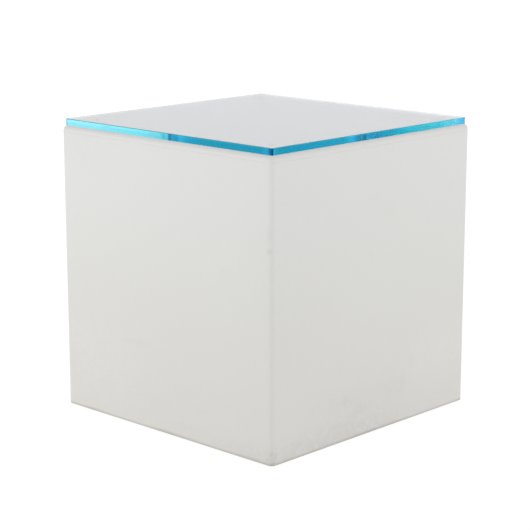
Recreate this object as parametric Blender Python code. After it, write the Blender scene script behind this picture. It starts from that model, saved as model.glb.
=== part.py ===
"""Display cube: a box of opal acrylic sheet with a loose plate of clear glass on top.

Metres, +Z up. The origin is on the floor under the middle of the cube. The front wall faces -Y.
The box is four mitred walls under one top sheet, the deck. Rods and cleats stiffen its inner
corners, and a recessed base panel, screwed to the lower cleats, stands on four rubber feet.
"""

from math import asin, cos, degrees, pi, radians, sin, sqrt

import bmesh
import bpy
from mathutils import Matrix

# Box
CUBE = 0.457  # outer width and depth, and the height of the deck's upper face (18 in)
SHEET = 0.0095  # walls and deck (3/8 in sheet)
CORNER_RADIUS = 0.008  # rounding of the upright corners, seen from above
RIM_RADIUS = 0.007  # round-over of the deck's upper rim
ARC_STEPS = 8  # steps in a quarter turn of either rounding
WALL_LIFT = 0.001  # lower edges of the walls, above the floor
ARRIS = 0.0005  # small chamfer that a sharp edge gets
GAP = 0.0003  # gap between pieces that touch

# Glass plate
GLASS_SIDE = 0.447
GLASS_THICKNESS = 0.010
GLASS_CORNER = 0.002  # dubbed corners, seen from above
GLASS_ARRIS = 0.0005
BUMPER_RADIUS = 0.006
BUMPER_THICKNESS = 0.0003  # clear film, thick enough to grip
BUMPER_EDGE = 0.0001  # chamfer of a bumper's upper edge
BUMPER_SPACING = 0.38  # between bumper centres, along X and along Y

# Inside
RAIL = 0.016  # side of the square corner rods and cleats
RAIL_CHAMFER = 0.001

# Base
BASE_Z = 0.006  # underside of the base panel
BASE_THICKNESS = 0.006
BASE_CLEARANCE = 0.001  # between the base panel and the walls
FOOT_RADIUS = 0.011
FOOT_TAPER = 0.001
FOOT_SPACING = 0.36

# Screws, M4 button heads with a hexagon socket
SCREW_RADIUS = 0.002
SCREW_LENGTH = 0.016
HEAD_RADIUS = 0.0038
HEAD_HEIGHT = 0.0022
HEAD_RIM = 0.0005  # upright part of the head's side, below its dome
DOME_START = 55  # degrees up the dome where its flat top begins
DOME_STEPS = 3
SOCKET_WIDTH = 0.0025  # across flats
SOCKET_DEPTH = 0.0013
CLEARANCE_HOLE_RADIUS = 0.0024
SCREW_SPACING = 0.24  # between the two screws of one cleat

ROUND_STEPS = 24  # sides of a screw, hole, bumper or foot

# Worked out from the above
WALL_INSIDE = CUBE / 2 - SHEET
DECK_UNDERSIDE = CUBE - SHEET
WALL_TOP = DECK_UNDERSIDE - GAP
RAIL_CENTRE = WALL_INSIDE - GAP - RAIL / 2
CLEAT_LENGTH = 2 * (RAIL_CENTRE - RAIL / 2 - GAP)
BASE_TOP = BASE_Z + BASE_THICKNESS
GLASS_Z = CUBE + GAP + BUMPER_THICKNESS + GAP
SIDES = ("front", "right", "back", "left")  # each a quarter turn on from the one before


def clear_scene():
    for obj in list(bpy.data.objects):
        bpy.data.objects.remove(obj, do_unlink=True)


# Materials


def principled(name, colour, roughness, metallic=0.0, transmission=0.0, ior=1.49):
    material = bpy.data.materials.new(name)
    material.use_nodes = True
    shader = material.node_tree.nodes["Principled BSDF"]
    shader.inputs["Base Color"].default_value = (*colour, 1.0)
    shader.inputs["Roughness"].default_value = roughness
    shader.inputs["Metallic"].default_value = metallic
    shader.inputs["Transmission Weight"].default_value = transmission
    shader.inputs["IOR"].default_value = ior
    return material


def opal_acrylic():
    return principled("opal_acrylic", (0.80, 0.80, 0.77), 0.45)


def clear_acrylic():
    return principled("clear_acrylic", (0.95, 0.96, 0.95), 0.1, transmission=1.0)


def low_iron_glass():
    return principled("low_iron_glass", (0.80, 0.96, 0.98), 0.01, transmission=1.0, ior=1.52)


def clear_vinyl():
    return principled("clear_vinyl", (0.92, 0.92, 0.90), 0.3, transmission=0.9)


def stainless_steel():
    return principled("stainless_steel", (0.62, 0.61, 0.59), 0.3, metallic=1.0)


def grey_rubber():
    return principled("grey_rubber", (0.10, 0.10, 0.10), 0.8)


# Outlines and solids


def arc(centre, radius, start, end, steps):
    """Points from the angle start to the angle end, in degrees, both included."""
    points = []
    for step in range(steps + 1):
        angle = radians(start + (end - start) * step / steps)
        points.append((centre[0] + radius * cos(angle), centre[1] + radius * sin(angle)))
    return points


def circle(radius):
    return [(radius * cos(2 * pi * i / ROUND_STEPS), radius * sin(2 * pi * i / ROUND_STEPS))
            for i in range(ROUND_STEPS)]


def hexagon(across_flats):
    """A hexagon with as many points as a circle, so that the two can be joined."""
    points = []
    for i in range(ROUND_STEPS):
        angle = 2 * pi * i / ROUND_STEPS
        from_flat = (angle + pi / 6) % (pi / 3) - pi / 6
        reach = across_flats / 2 / cos(from_flat)
        points.append((reach * cos(angle), reach * sin(angle)))
    return points


def rounded_square(side, radius, steps=ARC_STEPS):
    middle = side / 2 - radius
    points = []
    for quarter, (x, y) in enumerate(((1, 1), (-1, 1), (-1, -1), (1, -1))):
        points += arc((x * middle, y * middle), radius, 90 * quarter, 90 * quarter + 90, steps)
    return points


def wall_outline(inset):
    """Plan of the front wall, with its outer face moved in by inset.

    Its ends are mitred on the cube's diagonals and stand back from them by half a gap. The
    rounded upright corner is shared: each wall holds one half of its arc.
    """
    radius = CORNER_RADIUS - inset
    middle = CUBE / 2 - CORNER_RADIUS
    at_mitre = 315 - degrees(asin(GAP / 2 / radius))
    right = arc((middle, -middle), radius, 270, at_mitre, ARC_STEPS // 2)
    left = [(-x, y) for x, y in reversed(right)]
    inner = WALL_INSIDE - GAP / sqrt(2)
    return [(-inner, -WALL_INSIDE), *left, *right, (inner, -WALL_INSIDE)]


def skin(levels):
    """A closed solid through levels, each an outline and its height, with the ends capped."""
    bm = bmesh.new()
    rings = [[bm.verts.new((x, y, z)) for x, y in outline] for outline, z in levels]
    for low, high in zip(rings, rings[1:]):
        for i in range(len(low)):
            j = (i + 1) % len(low)
            bm.faces.new((low[i], low[j], high[j], high[i]))
    bm.faces.new(rings[0])
    bm.faces.new(rings[-1])
    bmesh.ops.recalc_face_normals(bm, faces=bm.faces)
    return bm


def add_object(name, bm, material, parent, location=(0, 0, 0), turn=0.0):
    """turn is about Z, in degrees."""
    mesh = bpy.data.meshes.new(name)
    bm.to_mesh(mesh)
    bm.free()
    mesh.shade_smooth()
    mesh.set_sharp_from_angle(angle=radians(35))
    mesh.materials.append(material)
    obj = bpy.data.objects.new(name, mesh)
    bpy.context.scene.collection.objects.link(obj)
    obj.parent = parent
    obj.location = location
    obj.rotation_euler.z = radians(turn)
    return obj


def add_empty(name, location=(0, 0, 0)):
    empty = bpy.data.objects.new(name, None)
    bpy.context.scene.collection.objects.link(empty)
    empty.location = location
    return empty


def box(size):
    bm = bmesh.new()
    bmesh.ops.create_cube(bm, size=1.0, matrix=Matrix.Diagonal((*size, 1.0)))
    return bm


def bevel(obj, width, segments=1):
    modifier = obj.modifiers.new("Bevel", "BEVEL")
    modifier.width = width
    modifier.segments = segments
    modifier.limit_method = "ANGLE"


def cut(obj, cutter):
    modifier = obj.modifiers.new("Holes", "BOOLEAN")
    modifier.operation = "DIFFERENCE"
    modifier.object = cutter


def turned(x, y, quarters):
    """The point after that many quarter turns about the Z axis."""
    for _ in range(quarters):
        x, y = -y, x
    return x, y


def quarter_points(spacing):
    """The corners of a square about the Z axis, in turn."""
    return [turned(spacing / 2, -spacing / 2, quarter) for quarter in range(4)]


# The box


def add_walls(material, parent):
    levels = [
        (wall_outline(ARRIS), WALL_LIFT),
        (wall_outline(0.0), WALL_LIFT + ARRIS),
        (wall_outline(0.0), WALL_TOP),
    ]
    for quarter, side in enumerate(SIDES):
        add_object("wall_" + side, skin(levels), material, parent, turn=90 * quarter)


def add_deck(material, parent):
    """The top sheet. Its corners are a little rounder than its rim, so the rim runs round them."""
    levels = [(rounded_square(CUBE, CORNER_RADIUS), 0.0)]
    for step in range(ARC_STEPS + 1):
        angle = pi / 2 * step / ARC_STEPS
        inset = RIM_RADIUS * (1 - cos(angle))
        height = SHEET - RIM_RADIUS * (1 - sin(angle))
        outline = rounded_square(CUBE - 2 * inset, CORNER_RADIUS - inset)
        levels.append((outline, height))
    add_object("deck", skin(levels), material, parent, (0, 0, DECK_UNDERSIDE))


def add_corner_rods(material, parent):
    height = WALL_TOP - BASE_TOP - GAP
    middle = BASE_TOP + GAP + height / 2
    for number, (x, y) in enumerate(quarter_points(2 * RAIL_CENTRE), start=1):
        rod = add_object(f"corner_rod_{number}", box((RAIL, RAIL, height)), material, parent,
                         (x, y, middle))
        bevel(rod, RAIL_CHAMFER)


def add_cleats(prefix, middle, material, parent):
    """Four bars along the walls, between the corner rods, with their centres at that height."""
    cleats = []
    for quarter, side in enumerate(SIDES):
        location = (*turned(0.0, -RAIL_CENTRE, quarter), middle)
        cleat = add_object(prefix + side, box((CLEAT_LENGTH, RAIL, RAIL)), material, parent,
                           location, 90 * quarter)
        bevel(cleat, RAIL_CHAMFER)
        cleats.append(cleat)
    return cleats


# The base


def screw_places():
    """Two screws to each base cleat, on its centre line."""
    places = []
    for quarter in range(len(SIDES)):
        for along in (-SCREW_SPACING / 2, SCREW_SPACING / 2):
            places.append(turned(along, -RAIL_CENTRE, quarter))
    return places


def hole_cutter(name, radius, bottom, top):
    """One cutter for all eight screw holes."""
    bm = bmesh.new()
    for x, y in screw_places():
        place = Matrix.Translation((x, y, (bottom + top) / 2))
        bmesh.ops.create_cone(bm, cap_ends=True, segments=ROUND_STEPS, radius1=radius,
                              radius2=radius, depth=top - bottom, matrix=place)
    mesh = bpy.data.meshes.new(name)
    bm.to_mesh(mesh)
    bm.free()
    cutter = bpy.data.objects.new(name, mesh)
    bpy.context.scene.collection.objects.link(cutter)
    cutter.hide_render = True
    cutter.display_type = "WIRE"
    return cutter


def add_base_panel(material, parent):
    side = 2 * (WALL_INSIDE - BASE_CLEARANCE)
    middle = BASE_Z + BASE_THICKNESS / 2
    panel = add_object("base_panel", box((side, side, BASE_THICKNESS)), material, parent,
                       (0, 0, middle))
    bevel(panel, ARRIS)
    cut(panel, hole_cutter("base_panel_holes", CLEARANCE_HOLE_RADIUS, 0.0, BASE_TOP + ARRIS))


def add_base_cleats(material, parent):
    middle = BASE_TOP + GAP + RAIL / 2
    cleats = add_cleats("base_cleat_", middle, material, parent)
    top = BASE_Z + SCREW_LENGTH
    holes = hole_cutter("base_cleat_holes", SCREW_RADIUS + GAP, 0.0, top + GAP)
    for cleat in cleats:
        cut(cleat, holes)


def add_screws(material, parent):
    """Each screw points up. Its head bears on the base panel's underside."""
    dome = []
    for step in range(DOME_STEPS + 1):
        angle = radians(DOME_START) * (1 - step / DOME_STEPS)
        rise = (HEAD_HEIGHT - HEAD_RIM) * sin(angle) / sin(radians(DOME_START))
        dome.append((circle(HEAD_RADIUS * cos(angle)), -HEAD_RIM - rise))
    levels = [
        (hexagon(SOCKET_WIDTH), SOCKET_DEPTH - HEAD_HEIGHT),
        (hexagon(SOCKET_WIDTH), -HEAD_HEIGHT),
        *dome,
        (circle(HEAD_RADIUS), 0.0),
        (circle(SCREW_RADIUS), 0.0),
        (circle(SCREW_RADIUS), SCREW_LENGTH - ARRIS),
        (circle(SCREW_RADIUS - ARRIS), SCREW_LENGTH),
    ]
    for number, (x, y) in enumerate(screw_places(), start=1):
        add_object(f"base_screw_{number}", skin(levels), material, parent, (x, y, BASE_Z - GAP))


def add_feet(material, parent):
    height = BASE_Z - GAP
    levels = [
        (circle(FOOT_RADIUS - FOOT_TAPER - ARRIS), 0.0),
        (circle(FOOT_RADIUS - FOOT_TAPER), ARRIS),
        (circle(FOOT_RADIUS), height),
    ]
    for number, (x, y) in enumerate(quarter_points(FOOT_SPACING), start=1):
        add_object(f"foot_{number}", skin(levels), material, parent, (x, y, 0.0))


# The glass


def add_bumpers(material, parent):
    levels = [
        (circle(BUMPER_RADIUS), 0.0),
        (circle(BUMPER_RADIUS), BUMPER_THICKNESS - BUMPER_EDGE),
        (circle(BUMPER_RADIUS - BUMPER_EDGE), BUMPER_THICKNESS),
    ]
    for number, (x, y) in enumerate(quarter_points(BUMPER_SPACING), start=1):
        add_object(f"glass_bumper_{number}", skin(levels), material, parent, (x, y, CUBE + GAP))


def add_glass(material, parent):
    """A plate with polished edges, small arrises and dubbed corners. It lifts off along Z."""
    full = rounded_square(GLASS_SIDE, GLASS_CORNER)
    eased = rounded_square(GLASS_SIDE - 2 * GLASS_ARRIS, GLASS_CORNER - GLASS_ARRIS)
    levels = [
        (eased, 0.0),
        (full, GLASS_ARRIS),
        (full, GLASS_THICKNESS - GLASS_ARRIS),
        (eased, GLASS_THICKNESS),
    ]
    add_object("glass_top", skin(levels), material, parent)


def build():
    clear_scene()
    cube = add_empty("cube")
    glass = add_empty("glass", (0, 0, GLASS_Z))
    opal = opal_acrylic()
    clear = clear_acrylic()
    add_walls(opal, cube)
    add_deck(opal, cube)
    add_corner_rods(clear, cube)
    add_cleats("deck_cleat_", WALL_TOP - RAIL / 2, clear, cube)
    add_base_cleats(clear, cube)
    add_base_panel(opal, cube)
    add_screws(stainless_steel(), cube)
    add_feet(grey_rubber(), cube)
    add_bumpers(clear_vinyl(), cube)
    add_glass(low_iron_glass(), glass)


build()
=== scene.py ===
"""Looks of the display cube: opal acrylic walls and deck, a glass plate, and the fittings below.

Every length is in metres, in the row frame. The visible pieces are rebuilt here with finer
edges than the CAD solids, inside the same boxes. The sealed-in rods and cleats and the base
panel stay CAD. The gaps that keep the CAD solids apart are closed to a hair's breadth.
"""

import math

import bmesh
import bpy
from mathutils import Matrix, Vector


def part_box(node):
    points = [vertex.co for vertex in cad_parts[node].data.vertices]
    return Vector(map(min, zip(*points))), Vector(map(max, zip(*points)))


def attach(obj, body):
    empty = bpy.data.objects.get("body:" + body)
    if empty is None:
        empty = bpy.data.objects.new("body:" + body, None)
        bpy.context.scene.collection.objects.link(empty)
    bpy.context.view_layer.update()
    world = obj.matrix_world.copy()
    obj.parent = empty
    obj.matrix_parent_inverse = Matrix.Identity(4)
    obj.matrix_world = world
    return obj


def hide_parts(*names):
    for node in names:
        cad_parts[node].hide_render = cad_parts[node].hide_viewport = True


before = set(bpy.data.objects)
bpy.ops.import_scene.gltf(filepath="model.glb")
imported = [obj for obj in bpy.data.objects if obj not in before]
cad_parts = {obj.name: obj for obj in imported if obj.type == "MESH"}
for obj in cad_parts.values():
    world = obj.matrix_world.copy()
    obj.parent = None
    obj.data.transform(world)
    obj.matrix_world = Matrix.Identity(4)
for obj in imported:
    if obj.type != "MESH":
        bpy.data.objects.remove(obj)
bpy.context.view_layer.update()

# Driving sizes, read from the frame
wall_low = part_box("wall_right")[0]
deck_low, deck_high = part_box("deck")
glass_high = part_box("glass_top")[1]
HALF = deck_high.x
SHEET = deck_high.z - deck_low.z
GLASS_HALF = glass_high.x
CORNER_RADIUS = 0.008
RIM_RADIUS = 0.007
ARC_STEPS = 12
SEAM = 0.00006
ARRIS = 0.0005
SEAM_ARRIS = 0.00015
GLASS_CORNER = 0.002
WIDE_ARRIS = 0.0008  # on top of the glass plate's front and right edges
FINE_ARRIS = 0.00003  # on its other two edges, and all round below
CONTACT = 0.00005  # between pieces that touch
DISC_THICKNESS = 0.0003
DISC_EDGE = 0.00008
FOOT_TAPER = 0.001
FOOT_FILLET = 0.0008  # rounding of a foot's lower edge
FOOT_DISH_RADIUS = 0.006
FOOT_DISH_DEPTH = 0.0006
HEAD_HEIGHT = 0.0022
HEAD_RIM = 0.0005  # upright part of the screw head's side, below its dome
DOME_START = 55  # degrees up the dome where its flat top begins
SOCKET_RADIUS = 0.00144  # to the corners of the hexagon
SOCKET_DEPTH = 0.0013
SOCKET_CHAMFER = 0.00012
SHANK_RADIUS = 0.002
SHANK_TIP = 0.0005
ROUND_STEPS = 48
FILLET_STEPS = 6
SHARP_ANGLE = 32  # degrees between two faces from which their edge stays sharp
CORNERS = (1, 2, 3, 4)  # numbers of the discs and of the feet
SCREWS = range(1, 9)

# The glass plate's material slots after the first, which is its two faces
EDGES = 1
GROUND = 2

# Camera
AZIMUTH = math.radians(43.53)
ELEVATION = math.radians(12.78)
SENSOR_WIDTH = 36  # millimetres, like the lens
LENS = 114.2
CAMERA_DISTANCE = 5.930 * 2 * HALF
AIM_RIGHT = -0.0040 * 2 * HALF
AIM_UP = 0.0016 * 2 * HALF

# Floor and light
FLOOR_RADIUS = 12.0
FLOOR_STEPS = 96
FLOOR_GREY = (0.25, 0.25, 0.25, 1.0)
FLOOR_GLOW = 0.82  # strength of the white light that the floor gives off itself
WORLD_STOPS = (  # (height of a direction above the horizon, colour)
    (0.0, (1.02, 1.02, 1.02)),
    (0.09, (0.905, 0.885, 0.925)),
    (0.35, (0.90, 0.89, 0.91)),
    (0.9, (0.86, 0.85, 0.87)),
)
SOFTBOX_SIZE = 1.0
LEFT_SOFTBOX = (-1.45, 0.05, 2.6)  # to the camera's right of the cube's middle, above it, watts
RIGHT_SOFTBOX = (1.15, 0.2, 0.6)
BOUNCES = 32

# Indices of refraction
GLASS_IOR = 1.52
ACRYLIC_IOR = 1.49
VINYL_IOR = 1.45

# Marks on the used acrylic, seen from outside: (side, along it from its left end, height,
# reach sideways, reach up and down, strength). Scuffs are grey and stains are brown. The grey
# marks also hold broad painted shade, and a negative strength makes a patch lighter.
SCUFFS_AND_PAINTED_SHADE = (
    ("front", 0.024, 0.383, 0.006, 0.005, 0.022),
    ("front", 0.168, 0.134, 0.060, 0.008, 0.022),
    ("front", 0.362, 0.277, 0.018, 0.010, 0.016),
    ("front", 0.344, 0.338, 0.024, 0.004, 0.010),
    ("front", 0.090, 0.055, 0.050, 0.008, 0.014),
    ("front", 0.220, 0.046, 0.050, 0.014, 0.014),
    ("front", 0.307, 0.054, 0.024, 0.008, 0.016),
    ("front", 0.275, 0.020, 0.040, 0.010, 0.014),
    ("right", 0.022, 0.388, 0.012, 0.006, 0.022),
    ("right", 0.075, 0.404, 0.012, 0.007, 0.008),
    ("right", 0.092, 0.342, 0.012, 0.007, 0.010),
    ("right", 0.219, 0.284, 0.012, 0.012, 0.014),
    ("right", 0.412, 0.362, 0.016, 0.022, 0.012),
    ("right", 0.148, 0.112, 0.016, 0.012, 0.012),
    ("right", 0.321, 0.097, 0.018, 0.018, 0.018),
    ("right", 0.130, 0.070, 0.010, 0.020, 0.014),
    ("right", 0.165, 0.062, 0.030, 0.016, 0.024),
    ("right", 0.195, 0.045, 0.032, 0.018, 0.020),
    ("right", 0.274, 0.058, 0.040, 0.026, 0.014),
    # Broad marks from here on: painted shade along the foot of the walls and down the front upright
    # corner, then a faint darker patch at the top left and two lighter patches.
    ("right", 0.190, 0.045, 0.190, 0.070, 0.020),
    ("right", 0.140, 0.000, 0.300, 0.050, 0.062),
    ("front", 0.430, 0.000, 0.120, 0.040, 0.020),
    ("front", 0.457, 0.250, 0.100, 0.260, 0.010),
    ("front", 0.050, 0.430, 0.110, 0.060, 0.014),
    ("front", 0.040, 0.085, 0.220, 0.130, -0.030),
    ("right", 0.400, 0.100, 0.140, 0.080, -0.022),
)
STAINS = (
    ("front", 0.4510, 0.3205, 0.010, 0.008, 0.150),
    ("front", 0.4500, 0.345, 0.007, 0.022, 0.045),
    ("right", 0.0040, 0.011, 0.010, 0.024, 0.170),
    ("right", 0.258, 0.340, 0.026, 0.022, 0.030),
    ("right", 0.227, 0.367, 0.030, 0.018, 0.018),
    ("right", 0.299, 0.064, 0.012, 0.030, 0.030),
    ("front", 0.020, 0.060, 0.022, 0.070, 0.022),
)
MARK_WANDER = 0.012  # how far a mark's outline strays, from side to side

# What the glass plate's edges let through, as (place, colour): the front edge along x and the
# right edge along y. These weren't chosen freely: scratch programs worked out most of the places
# from the photo through a fitted camera, and measured ratios of photo to render steered the colours.
# The pale lengths and the near white spot are painted light, and the dark bands and ends are painted
# shade; the teal between is the glass's own colour.
FRONT_EDGE_TEAL_AND_PAINTED_LIGHT = (
    (-GLASS_HALF, (0.30, 0.55, 0.60)),
    (-0.2210, (0.30, 0.55, 0.60)),
    (-0.2195, (1.00, 0.97, 0.98)),
    (-0.057, (0.64, 0.92, 0.92)),
    (-0.017, (0.56, 0.79, 0.83)),
    (-0.005, (0.42, 0.80, 0.82)),
    (0.000, (0.22, 0.57, 0.62)),
    (0.0095, (0.27, 0.73, 0.84)),
    (0.0125, (0.00, 0.17, 0.28)),
    (0.0165, (0.00, 0.26, 0.40)),
    (0.0195, (0.00, 0.52, 0.71)),
    (0.0305, (0.00, 0.38, 0.59)),
    (0.0375, (0.02, 0.64, 0.89)),
    (0.0425, (0.03, 0.58, 0.82)),
    (0.0495, (0.00, 0.48, 0.69)),
    (0.083, (0.00, 0.43, 0.57)),
    (0.203, (0.00, 0.42, 0.58)),
    (0.211, (0.02, 0.50, 0.74)),
    (0.2155, (0.00, 0.46, 0.68)),
    (0.2185, (0.00, 0.18, 0.41)),
    (GLASS_HALF, (0.00, 0.18, 0.41)),
)
RIGHT_EDGE_TEAL_AND_PAINTED_LIGHT = (
    (-GLASS_HALF, (0.00, 0.18, 0.41)),
    (-0.2215, (0.00, 0.18, 0.41)),
    (-0.2195, (0.04, 0.56, 0.72)),
    (-0.2105, (0.00, 0.44, 0.57)),
    (-0.1235, (0.00, 0.47, 0.67)),
    (-0.0685, (0.00, 0.50, 0.64)),
    (-0.0565, (0.04, 0.62, 0.80)),
    (-0.0495, (0.04, 0.58, 0.94)),
    (-0.0415, (0.00, 0.41, 0.64)),
    (-0.0335, (0.00, 0.34, 0.48)),
    (-0.0285, (0.00, 0.17, 0.27)),
    (-0.0225, (0.00, 0.09, 0.17)),
    (-0.0155, (0.00, 0.26, 0.37)),
    (0.0065, (0.00, 0.20, 0.31)),
    (0.061, (0.00, 0.30, 0.38)),
    (0.087, (0.03, 0.36, 0.41)),
    (0.157, (0.08, 0.40, 0.45)),
    (0.197, (0.28, 0.47, 0.55)),
    (0.2165, (0.12, 0.37, 0.53)),
    (GLASS_HALF, (0.08, 0.34, 0.50)),
)


# Meshes


def arc(centre, radius, start, end, steps):
    """Points from the angle start to the angle end, in degrees, both included."""
    points = []
    for step in range(steps + 1):
        angle = math.radians(start + (end - start) * step / steps)
        points.append((centre[0] + radius * math.cos(angle), centre[1] + radius * math.sin(angle)))
    return points


def circle(radius, centre=(0.0, 0.0)):
    return arc(centre, radius, 0, 360 - 360 / ROUND_STEPS, ROUND_STEPS - 1)


def rounded_square(half, radius, steps=ARC_STEPS):
    middle = half - radius
    points = []
    for quarter, (x, y) in enumerate(((1, 1), (-1, 1), (-1, -1), (1, -1))):
        points += arc((x * middle, y * middle), radius, 90 * quarter, 90 * quarter + 90, steps)
    return points


def wall_outline(inset):
    """Plan of the front wall, mitred on the cube's diagonals, its outer face moved in by inset."""
    radius = CORNER_RADIUS - inset
    middle = HALF - CORNER_RADIUS
    at_mitre = 315 - math.degrees(math.asin(SEAM / 2 / radius))
    right = arc((middle, -middle), radius, 270, at_mitre, ARC_STEPS // 2)
    left = [(-x, y) for x, y in reversed(right)]
    inside = HALF - SHEET
    return [(SEAM - inside, -inside), *left, *right, (inside - SEAM, -inside)]


def skin(name, levels, slots=None):
    """A closed mesh through levels, each an outline and its height, with the ends capped.

    slots gives the material slot of each band between two levels. The caps take the first.
    """
    bm = bmesh.new()
    rings = [[bm.verts.new((x, y, z)) for x, y in outline] for outline, z in levels]
    for band, (low, high) in enumerate(zip(rings, rings[1:])):
        for i in range(len(low)):
            j = (i + 1) % len(low)
            face = bm.faces.new((low[i], low[j], high[j], high[i]))
            face.material_index = slots[band] if slots else 0
    bm.faces.new(rings[0])
    bm.faces.new(rings[-1])
    bmesh.ops.recalc_face_normals(bm, faces=bm.faces)
    mesh = bpy.data.meshes.new(name)
    bm.to_mesh(mesh)
    bm.free()
    return mesh


def add_piece(name, mesh, materials, body, node):
    """A piece that stands for one CAD node, which it hides, with the given materials."""
    for material in materials:
        mesh.materials.append(material)
    mesh.shade_smooth()
    mesh.set_sharp_from_angle(angle=math.radians(SHARP_ANGLE))
    obj = bpy.data.objects.new(name, mesh)
    bpy.context.scene.collection.objects.link(obj)
    normals = obj.modifiers.new("Normals", "WEIGHTED_NORMAL")
    normals.keep_sharp = True
    normals.weight = 100
    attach(obj, body)
    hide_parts(node)
    return obj


# Shading


class Shading:
    """A material in the making: numbers and sockets go into its nodes, and a socket comes out."""

    def __init__(self, name):
        self.material = bpy.data.materials.new(name)
        self.material.use_nodes = True
        self.tree = self.material.node_tree
        self.shader = self.tree.nodes["Principled BSDF"]
        self.place = self.tree.nodes.new("ShaderNodeTexCoord").outputs["Object"]

    def put(self, socket, value):
        if isinstance(value, bpy.types.NodeSocket):
            self.tree.links.new(value, socket)
        else:
            socket.default_value = value

    def set(self, **values):
        """Sets the shader's sockets, whose names are written with _ for each space."""
        for name, value in values.items():
            self.put(self.shader.inputs[name.replace("_", " ")], value)

    def node(self, kind, values, **settings):
        node = self.tree.nodes.new("ShaderNode" + kind)
        for name, value in settings.items():
            setattr(node, name, value)
        for socket, value in values.items():
            self.put(node.inputs[socket], value)
        return node

    def maths(self, operation, *values):
        return self.node("Math", dict(enumerate(values)), operation=operation).outputs[0]

    def vector(self, operation, *values):
        return self.node("VectorMath", dict(enumerate(values)), operation=operation).outputs[0]

    def axis(self, name):
        """The object's x, y or z."""
        return self.node("SeparateXYZ", {0: self.place}).outputs[name.upper()]

    def ramp(self, value, low, high, at_low=0.0, at_high=1.0):
        """A smooth step from at_low to at_high, as the value goes from low to high."""
        limits = {0: value, 1: low, 2: high, 3: at_low, 4: at_high}
        return self.node("MapRange", limits, interpolation_type="SMOOTHSTEP").outputs[0]

    def noise(self, scale, detail=2.0, stretch=(1.0, 1.0, 1.0)):
        """Scale is in features to the metre, before each axis is multiplied by its stretch."""
        place = self.vector("MULTIPLY", self.place, stretch)
        values = {"Vector": place, "Scale": scale, "Detail": detail}
        return self.node("TexNoise", values).outputs[0]

    def spot(self, place, centre, radii):
        """1 at the centre, fading to 0 on an ellipsoid with those radii."""
        offset = self.vector("SUBTRACT", place, centre)
        scaled = self.vector("DIVIDE", offset, radii)
        length = self.node("VectorMath", {0: scaled}, operation="LENGTH").outputs["Value"]
        return self.ramp(length, 0.0, 1.0, 1.0, 0.0)

    def gradient(self, value, stops):
        """The colours of the stops, each (value, colour), blended in between."""
        low, high = stops[0][0], stops[-1][0]
        fraction = self.maths("DIVIDE", self.maths("SUBTRACT", value, low), high - low)
        ramp = self.node("ValToRGB", {0: fraction})
        elements = ramp.color_ramp.elements
        while len(elements) < len(stops):
            elements.new(1.0)
        for element, (position, colour) in zip(elements, stops):
            element.position = (position - low) / (high - low)
            element.color = (*colour, 1.0)
        return ramp.outputs[0]

    def blend(self, factor, first, second, kind="MIX"):
        """Colours are (red, green, blue) or sockets."""
        values = {0: factor}
        for socket, colour in ((6, first), (7, second)):
            values[socket] = (*colour, 1.0) if isinstance(colour, tuple) else colour
        return self.node("Mix", values, data_type="RGBA", blend_type=kind).outputs[2]

    def bump(self, height, distance):
        bump = self.node("Bump", {"Strength": 1.0, "Distance": distance, "Height": height})
        self.set(Normal=bump.outputs[0])


def on_side(side, along, height):
    """A point on a wall's outer face, along it from its left end as seen from outside."""
    x, y = along - HALF, -HALF
    for _ in range(("front", "right", "back", "left").index(side)):
        x, y = -y, x
    return (x, y, height)


def marks(shading, places, breakup):
    """The strengths of all the marks, added up, with wandering outlines and a broken surface."""
    wander = shading.node("TexNoise", {"Vector": shading.place, "Scale": 90.0, "Detail": 2.0})
    offset = shading.vector("MULTIPLY_ADD", wander.outputs[1], (MARK_WANDER,) * 3,
                            (-MARK_WANDER / 2,) * 3)
    place = shading.vector("ADD", shading.place, offset)
    total = 0.0
    for side, along, height, sideways, upright, strength in places:
        depth = max(sideways, upright, CORNER_RADIUS)
        if side in ("front", "back"):
            radii = (sideways, depth, upright)
        else:
            radii = (depth, sideways, upright)
        spot = shading.spot(place, on_side(side, along, height), radii)
        total = shading.maths("MULTIPLY_ADD", spot, strength, total)
    return shading.maths("MULTIPLY", total, breakup)


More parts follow.
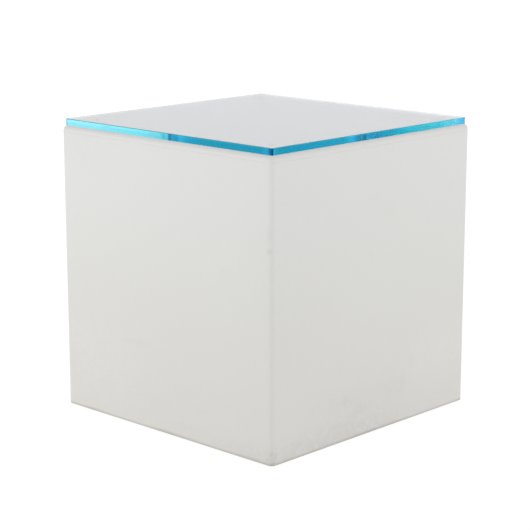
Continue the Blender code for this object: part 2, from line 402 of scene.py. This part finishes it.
def opal_acrylic():
    """Milky white sheet, satin, yellowed towards the floor, with scuff marks, stains and floor
    grime; painted shade darkens it low down, along its foot and down the front corner.
    """
    fresh = (0.690, 0.695, 0.671)
    # Yellower and darker than fresh: the yellowing is the sheet's own, the darkening is painted
    # shade.
    aged_and_shaded = (0.643, 0.640, 0.599)
    stain_brown = (0.34, 0.26, 0.16)
    # Colour of the band along the foot of the walls: grime and painted contact shadow.
    dirt_and_shadow_brown = (0.30, 0.27, 0.19)
    s = Shading("opal_acrylic")
    height = s.axis("z")
    cloud = s.noise(scale=7.0, detail=3.0)
    mottle = s.noise(scale=60.0, detail=3.0)
    streaks = s.noise(scale=14.0, detail=4.0, stretch=(1.0, 1.0, 9.0))
    clouded_height = s.maths("MULTIPLY_ADD", cloud, -0.16, height)
    # Yellowed and darker towards the floor: the darkening is painted shade.
    age_and_shade = s.ramp(clouded_height, -0.16, 0.42, at_low=1.0, at_high=0.0)
    colour = s.blend(age_and_shade, fresh, aged_and_shaded)
    # Shade is 1 on average, before the scuff marks and painted shade come off it
    shade = s.maths("MULTIPLY_ADD", mottle, 0.018, 0.991)
    shade = s.maths("MULTIPLY_ADD", cloud, 0.016, s.maths("SUBTRACT", shade, 0.008))
    breakup = s.ramp(s.noise(scale=160.0, detail=3.0), 0.30, 0.62, at_low=0.35, at_high=1.35)
    scuffs_and_shade = marks(s, SCUFFS_AND_PAINTED_SHADE, breakup)
    # Streaky darkening towards the bottom, added to the marks.
    low_down = s.ramp(height, 0.015, 0.14, at_low=1.0, at_high=0.0)
    low_streaks = s.maths("MULTIPLY", s.ramp(streaks, 0.52, 0.70), low_down)
    scuffs_and_shade = s.maths("MULTIPLY_ADD", low_streaks, 0.012, scuffs_and_shade)
    shade = s.maths("SUBTRACT", shade, scuffs_and_shade)
    grey = s.node("CombineColor", {0: shade, 1: shade, 2: shade}).outputs[0]
    colour = s.blend(1.0, colour, grey, kind="MULTIPLY")
    colour = s.blend(marks(s, STAINS, breakup), colour, stain_brown)
    # A dark band along the foot of the walls: partly grime from the floor, partly painted contact
    # shadow.
    edge_height = s.maths("MULTIPLY_ADD", streaks, -0.006, height)
    dirt_and_contact_shadow = s.ramp(edge_height, wall_low.z - 0.004, wall_low.z + 0.003, at_low=0.55, at_high=0.0)
    colour = s.blend(dirt_and_contact_shadow, colour, dirt_and_shadow_brown)
    rough = s.maths("MULTIPLY_ADD", mottle, 0.10, 0.36)
    rough = s.maths("MULTIPLY_ADD", scuffs_and_shade, 3.0, rough)
    s.set(Base_Color=colour, Roughness=rough, IOR=ACRYLIC_IOR)
    s.bump(s.maths("MULTIPLY_ADD", s.noise(scale=450.0), 0.12, mottle), distance=0.0001)
    return s.material


def absorb(shading):
    """The faint cyan that low-iron glass gets through its depth."""
    cyan = (0.257, 0.857, 0.92, 1.0)
    absorption = shading.node("VolumeAbsorption", {"Color": cyan, "Density": 3.5})
    output = shading.tree.nodes["Material Output"]
    shading.tree.links.new(absorption.outputs["Volume"], output.inputs["Volume"])


def tint(red, green, blue):
    """The base colour for what one crossing lets through: glass tints by its square root."""
    return (red ** 2, green ** 2, blue ** 2)


def low_iron_glass():
    """The plate's two faces, faintly smeared. Their tint stands in for the shade under the plate."""
    s = Shading("low_iron_glass")
    smears = s.ramp(s.noise(scale=9.0, detail=5.0, stretch=(1.0, 2.2, 1.0)), 0.45, 0.75)
    s.set(Base_Color=s.blend(smears, tint(0.90, 0.905, 0.895), tint(0.89, 0.895, 0.89)))
    s.set(Roughness=0.0, IOR=GLASS_IOR, Transmission_Weight=1.0)
    absorb(s)
    return s.material


def near_edges(shading):
    """Masks for the plate's front edge and its right edge."""
    on_front = shading.maths("LESS_THAN", shading.axis("y"), GLASS_CORNER / 2 - GLASS_HALF)
    on_right = shading.maths("GREATER_THAN", shading.axis("x"), GLASS_HALF - GLASS_CORNER / 2)
    return on_front, on_right


def edge_glass():
    """The polished edges. Two of them are teal, with painted light in their paler lengths and
    painted shade in their dark bands and ends.
    """
    s = Shading("glass_edge")
    on_front, on_right = near_edges(s)
    front = s.gradient(s.axis("x"), [(place, tint(*passed)) for place, passed in FRONT_EDGE_TEAL_AND_PAINTED_LIGHT])
    right = s.gradient(s.axis("y"), [(place, tint(*passed)) for place, passed in RIGHT_EDGE_TEAL_AND_PAINTED_LIGHT])
    colour = s.blend(on_front, (1.0, 1.0, 1.0), front)
    colour = s.blend(on_right, colour, right)
    s.set(Base_Color=colour, Roughness=0.0, IOR=GLASS_IOR, Transmission_Weight=1.0)
    s.set(Specular_Tint=(0.0, 0.2, 0.3, 1.0))
    absorb(s)
    return s.material


def ground_glass():
    """The wide arrises along the teal edges, ground and not polished."""
    s = Shading("glass_arris")
    # Lighter towards the back: painted light, as along the right edge.
    painted_light_towards_back = s.ramp(s.axis("y"), -0.22, 0.20)
    s.set(Base_Color=s.blend(painted_light_towards_back, (0.06, 0.33, 0.41), (0.20, 0.55, 0.68)))
    s.set(Roughness=0.6, IOR=GLASS_IOR, Transmission_Weight=0.25)
    absorb(s)
    return s.material


def clear_vinyl():
    """Film discs, slightly hazed."""
    s = Shading("clear_vinyl")
    haze = s.noise(scale=900.0)
    s.set(Base_Color=s.blend(haze, (0.96, 0.96, 0.95), (0.90, 0.90, 0.88)))
    s.set(Roughness=s.ramp(haze, 0.3, 0.7, at_low=0.15, at_high=0.35))
    s.set(IOR=VINYL_IOR, Transmission_Weight=0.95)
    return s.material


def clear_acrylic():
    """Sawn and cemented bars: clear inside, hazed by the saw's fine lines."""
    s = Shading("clear_acrylic")
    lines = s.noise(scale=220.0, stretch=(1.0, 1.0, 0.1))
    s.set(Base_Color=s.blend(lines, (0.95, 0.96, 0.95), (0.88, 0.89, 0.87)))
    s.set(Roughness=s.ramp(lines, 0.3, 0.7, at_low=0.08, at_high=0.40))
    s.set(IOR=ACRYLIC_IOR, Transmission_Weight=0.9)
    s.bump(lines, distance=0.00005)
    return s.material


def stainless_steel():
    """Screws, finely grained and smudged by handling."""
    s = Shading("stainless_steel")
    grain = s.noise(scale=2500.0, detail=3.0)
    smudge = s.noise(scale=300.0)
    s.set(Base_Color=s.blend(smudge, (0.60, 0.59, 0.57), (0.50, 0.49, 0.46)))
    s.set(Roughness=s.ramp(grain, 0.2, 0.8, at_low=0.22, at_high=0.42), Metallic=1.0)
    s.bump(grain, distance=0.00001)
    return s.material


def grey_rubber():
    """Feet, dark and dusty."""
    s = Shading("grey_rubber")
    grain = s.noise(scale=1500.0, detail=3.0)
    dust = s.ramp(s.noise(scale=120.0, detail=4.0), 0.45, 0.70, at_low=0.0, at_high=0.5)
    s.set(Base_Color=s.blend(dust, (0.045, 0.045, 0.047), (0.16, 0.15, 0.14)))
    s.set(Roughness=s.ramp(dust, 0.0, 0.5, at_low=0.62, at_high=0.90))
    s.bump(grain, distance=0.00006)
    return s.material


# Pieces


def build_walls(material):
    bottom, top = wall_low.z, deck_low.z - SEAM
    levels = [
        (wall_outline(ARRIS), bottom),
        (wall_outline(0.0), bottom + ARRIS),
        (wall_outline(0.0), top - SEAM_ARRIS),
        (wall_outline(SEAM_ARRIS), top),
    ]
    for quarter, side in enumerate(("front", "right", "back", "left")):
        mesh = skin("wall_sheet_" + side, levels)
        for vertex in mesh.vertices:
            for _ in range(quarter):
                vertex.co.x, vertex.co.y = -vertex.co.y, vertex.co.x
        add_piece("wall_sheet_" + side, mesh, [material], "cube", "wall_" + side)


def build_deck(material):
    levels = [
        (rounded_square(HALF - SEAM_ARRIS, CORNER_RADIUS - SEAM_ARRIS), deck_low.z),
        (rounded_square(HALF, CORNER_RADIUS), deck_low.z + SEAM_ARRIS),
    ]
    for step in range(ARC_STEPS + 1):
        angle = math.pi / 2 * step / ARC_STEPS
        inset = RIM_RADIUS * (1 - math.cos(angle))
        height = deck_high.z - RIM_RADIUS * (1 - math.sin(angle))
        levels.append((rounded_square(HALF - inset, CORNER_RADIUS - inset), height))
    add_piece("deck_sheet", skin("deck_sheet", levels), [material], "cube", "deck")


def glass_top_outline():
    """The plate's polished top, off the middle because its arris is wide on two sides only."""
    inset = (WIDE_ARRIS + FINE_ARRIS) / 2
    shift = (WIDE_ARRIS - FINE_ARRIS) / 2
    outline = rounded_square(GLASS_HALF - inset, GLASS_CORNER - inset)
    return [(x - shift, y + shift) for x, y in outline]


def build_glass():
    """The plate. Its underside comes down to the discs, past the CAD's gaps.

    Its fine arrises are polished like its edges. It casts no shadow, and the light that bounces
    between the other pieces doesn't meet it.
    """
    full = rounded_square(GLASS_HALF, GLASS_CORNER)
    bottom = deck_high.z + DISC_THICKNESS + 2 * CONTACT
    levels = [
        (rounded_square(GLASS_HALF - FINE_ARRIS, GLASS_CORNER - FINE_ARRIS), bottom),
        (full, bottom + FINE_ARRIS),
        (full, glass_high.z - WIDE_ARRIS),
        (glass_top_outline(), glass_high.z),
    ]
    mesh = skin("glass_plate", levels, slots=(EDGES, EDGES, GROUND))
    near = GLASS_HALF - GLASS_CORNER
    for face in mesh.polygons:
        on_far_side = face.center.x < near and face.center.y > -near
        if face.material_index == GROUND and on_far_side:
            face.material_index = EDGES
    materials = [low_iron_glass(), edge_glass(), ground_glass()]
    glass = add_piece("glass_plate", mesh, materials, "glass", "glass_top")
    glass.visible_shadow = False
    glass.visible_diffuse = False


def middle_of(node):
    """The middle of a CAD node's box, seen from above."""
    low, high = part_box(node)
    return ((low.x + high.x) / 2, (low.y + high.y) / 2)


def build_discs(material):
    """The four clear discs under the glass."""
    low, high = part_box("glass_bumper_1")
    radius = (high.x - low.x) / 2
    bottom = deck_high.z + CONTACT
    top = bottom + DISC_THICKNESS
    for number in CORNERS:
        place = middle_of(f"glass_bumper_{number}")
        levels = [
            (circle(radius, place), bottom),
            (circle(radius, place), top - DISC_EDGE),
            (circle(radius - DISC_EDGE, place), top),
        ]
        name = f"film_disc_{number}"
        add_piece(name, skin(name, levels), [material], "cube", f"glass_bumper_{number}")


def build_feet(material):
    """Turned from the middle of the dished tread, over the rounded edge, up to the panel."""
    low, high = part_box("foot_1")
    radius = (high.x - low.x) / 2
    tread = radius - FOOT_TAPER - FOOT_FILLET
    profile = [(FOOT_DISH_RADIUS * step / FILLET_STEPS,
                FOOT_DISH_DEPTH * math.cos(math.pi / 2 * step / FILLET_STEPS))
               for step in range(1, FILLET_STEPS + 1)]
    profile += arc((tread, FOOT_FILLET), FOOT_FILLET, 270, 360, FILLET_STEPS)
    profile.append((radius, high.z))
    for number in CORNERS:
        place = middle_of(f"foot_{number}")
        levels = [(circle(reach, place), height) for reach, height in profile]
        name = f"rubber_foot_{number}"
        add_piece(name, skin(name, levels), [material], "cube", f"foot_{number}")


def hexagon(radius, middle):
    """A hexagon with as many points as a circle, so that the two can be joined."""
    points = []
    for x, y in circle(1.0):
        angle = math.atan2(y, x)
        from_flat = (angle + math.pi / 6) % (math.pi / 3) - math.pi / 6
        reach = radius * math.cos(math.pi / 6) / math.cos(from_flat)
        points.append((middle[0] + reach * x, middle[1] + reach * y))
    return points


def build_screws(material):
    """Button heads, pointing up, turned from the socket over the dome and up the shank."""
    low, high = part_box("base_screw_1")
    head_radius = (high.x - low.x) / 2
    seat = low.z + HEAD_HEIGHT
    dome = []
    for step in range(FILLET_STEPS + 1):
        angle = math.radians(DOME_START) * (1 - step / FILLET_STEPS)
        rise = (HEAD_HEIGHT - HEAD_RIM) * math.sin(angle) / math.sin(math.radians(DOME_START))
        dome.append((head_radius * math.cos(angle), seat - HEAD_RIM - rise))
    shank = [(head_radius, seat), (SHANK_RADIUS, seat), (SHANK_RADIUS, high.z - SHANK_TIP),
             (SHANK_RADIUS - SHANK_TIP, high.z)]
    for number in SCREWS:
        place = middle_of(f"base_screw_{number}")
        levels = [
            (hexagon(SOCKET_RADIUS, place), low.z + SOCKET_DEPTH),
            (hexagon(SOCKET_RADIUS, place), low.z + SOCKET_CHAMFER),
            (hexagon(SOCKET_RADIUS + SOCKET_CHAMFER, place), low.z),
            *[(circle(reach, place), height) for reach, height in dome + shank],
        ]
        name = f"button_screw_{number}"
        add_piece(name, skin(name, levels), [material], "cube", f"base_screw_{number}")


def dress_cad_nodes(opal, clear):
    """Finishes for the CAD nodes that stay."""
    for node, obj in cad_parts.items():
        inside = node.startswith(("corner_rod", "deck_cleat", "base_cleat"))
        if inside or node == "base_panel":
            obj.data.materials.clear()
            obj.data.materials.append(clear if inside else opal)


# Stage


def build_floor():
    """A plain white floor, which doesn't show from below."""
    bm = bmesh.new()
    bmesh.ops.create_circle(bm, cap_ends=True, segments=FLOOR_STEPS, radius=FLOOR_RADIUS)
    mesh = bpy.data.meshes.new("floor")
    bm.to_mesh(mesh)
    bm.free()
    s = Shading("floor_paint")
    s.set(Base_Color=FLOOR_GREY, Roughness=1.0, Specular_IOR_Level=0.0)
    s.set(Emission_Color=(1.0, 1.0, 1.0, 1.0), Emission_Strength=FLOOR_GLOW)
    backfacing = s.node("NewGeometry", {}).outputs["Backfacing"]
    clear = s.node("BsdfTransparent", {}).outputs[0]
    mixed = s.node("MixShader", {0: backfacing, 1: s.shader.outputs[0], 2: clear}).outputs[0]
    s.put(s.tree.nodes["Material Output"].inputs["Surface"], mixed)
    mesh.materials.append(s.material)
    floor = bpy.data.objects.new("floor", mesh)
    bpy.context.scene.collection.objects.link(floor)


def add_softbox(name, to_the_right, above, power):
    """A square light beside the cube, as the camera sees it, that faces the cube's middle."""
    light = bpy.data.lights.new(name, "AREA")
    light.shape = "SQUARE"
    light.size = SOFTBOX_SIZE
    light.energy = power
    middle = Vector((0, 0, HALF))
    right = Vector((math.cos(AZIMUTH), math.sin(AZIMUTH), 0))
    obj = bpy.data.objects.new(name, light)
    obj.location = middle + to_the_right * right + Vector((0, 0, above))
    obj.rotation_mode = "QUATERNION"
    obj.rotation_quaternion = (middle - obj.location).to_track_quat("-Z", "Y")
    obj.visible_camera = False
    bpy.context.scene.collection.objects.link(obj)


def build_world():
    """White below the horizon, pale grey above it, and a little darker overhead."""
    world = bpy.data.worlds.new("studio")
    world.use_nodes = True
    nodes, links = world.node_tree.nodes, world.node_tree.links
    direction = nodes.new("ShaderNodeTexCoord").outputs["Generated"]
    split = nodes.new("ShaderNodeSeparateXYZ")
    links.new(direction, split.inputs[0])
    ramp = nodes.new("ShaderNodeValToRGB")
    ramp.color_ramp.interpolation = "EASE"
    while len(ramp.color_ramp.elements) < len(WORLD_STOPS):
        ramp.color_ramp.elements.new(0.5)
    for element, (position, colour) in zip(ramp.color_ramp.elements, WORLD_STOPS):
        element.position = position
        element.color = (*colour, 1.0)
    links.new(split.outputs["Z"], ramp.inputs[0])
    links.new(ramp.outputs["Color"], nodes["Background"].inputs["Color"])
    bpy.context.scene.world = world


def build_light():
    """The world and two softboxes. In the glass plate, light bounces many times before it leaves."""
    build_world()
    add_softbox("left_softbox", *LEFT_SOFTBOX)
    add_softbox("right_softbox", *RIGHT_SOFTBOX)
    bpy.context.scene.view_settings.view_transform = "Standard"
    cycles = bpy.context.scene.cycles
    cycles.max_bounces = BOUNCES
    cycles.transmission_bounces = BOUNCES
    cycles.glossy_bounces = BOUNCES


def build_camera():
    back = Vector((math.sin(AZIMUTH) * math.cos(ELEVATION),
                   -math.cos(AZIMUTH) * math.cos(ELEVATION),
                   math.sin(ELEVATION)))
    right = Vector((math.cos(AZIMUTH), math.sin(AZIMUTH), 0))
    up = back.cross(right)
    data = bpy.data.cameras.new("camera")
    data.lens = LENS
    data.sensor_width = SENSOR_WIDTH
    camera = bpy.data.objects.new("camera", data)
    camera.location = (Vector((0, 0, HALF)) + back * CAMERA_DISTANCE
                       + right * AIM_RIGHT + up * AIM_UP)
    camera.rotation_mode = "QUATERNION"
    camera.rotation_quaternion = (-back).to_track_quat("-Z", "Y")
    bpy.context.scene.collection.objects.link(camera)
    bpy.context.scene.camera = camera


build_camera()
opal = opal_acrylic()
build_walls(opal)
build_deck(opal)
build_glass()
build_discs(clear_vinyl())
build_feet(grey_rubber())
build_screws(stainless_steel())
dress_cad_nodes(opal, clear_acrylic())
build_floor()
build_light()
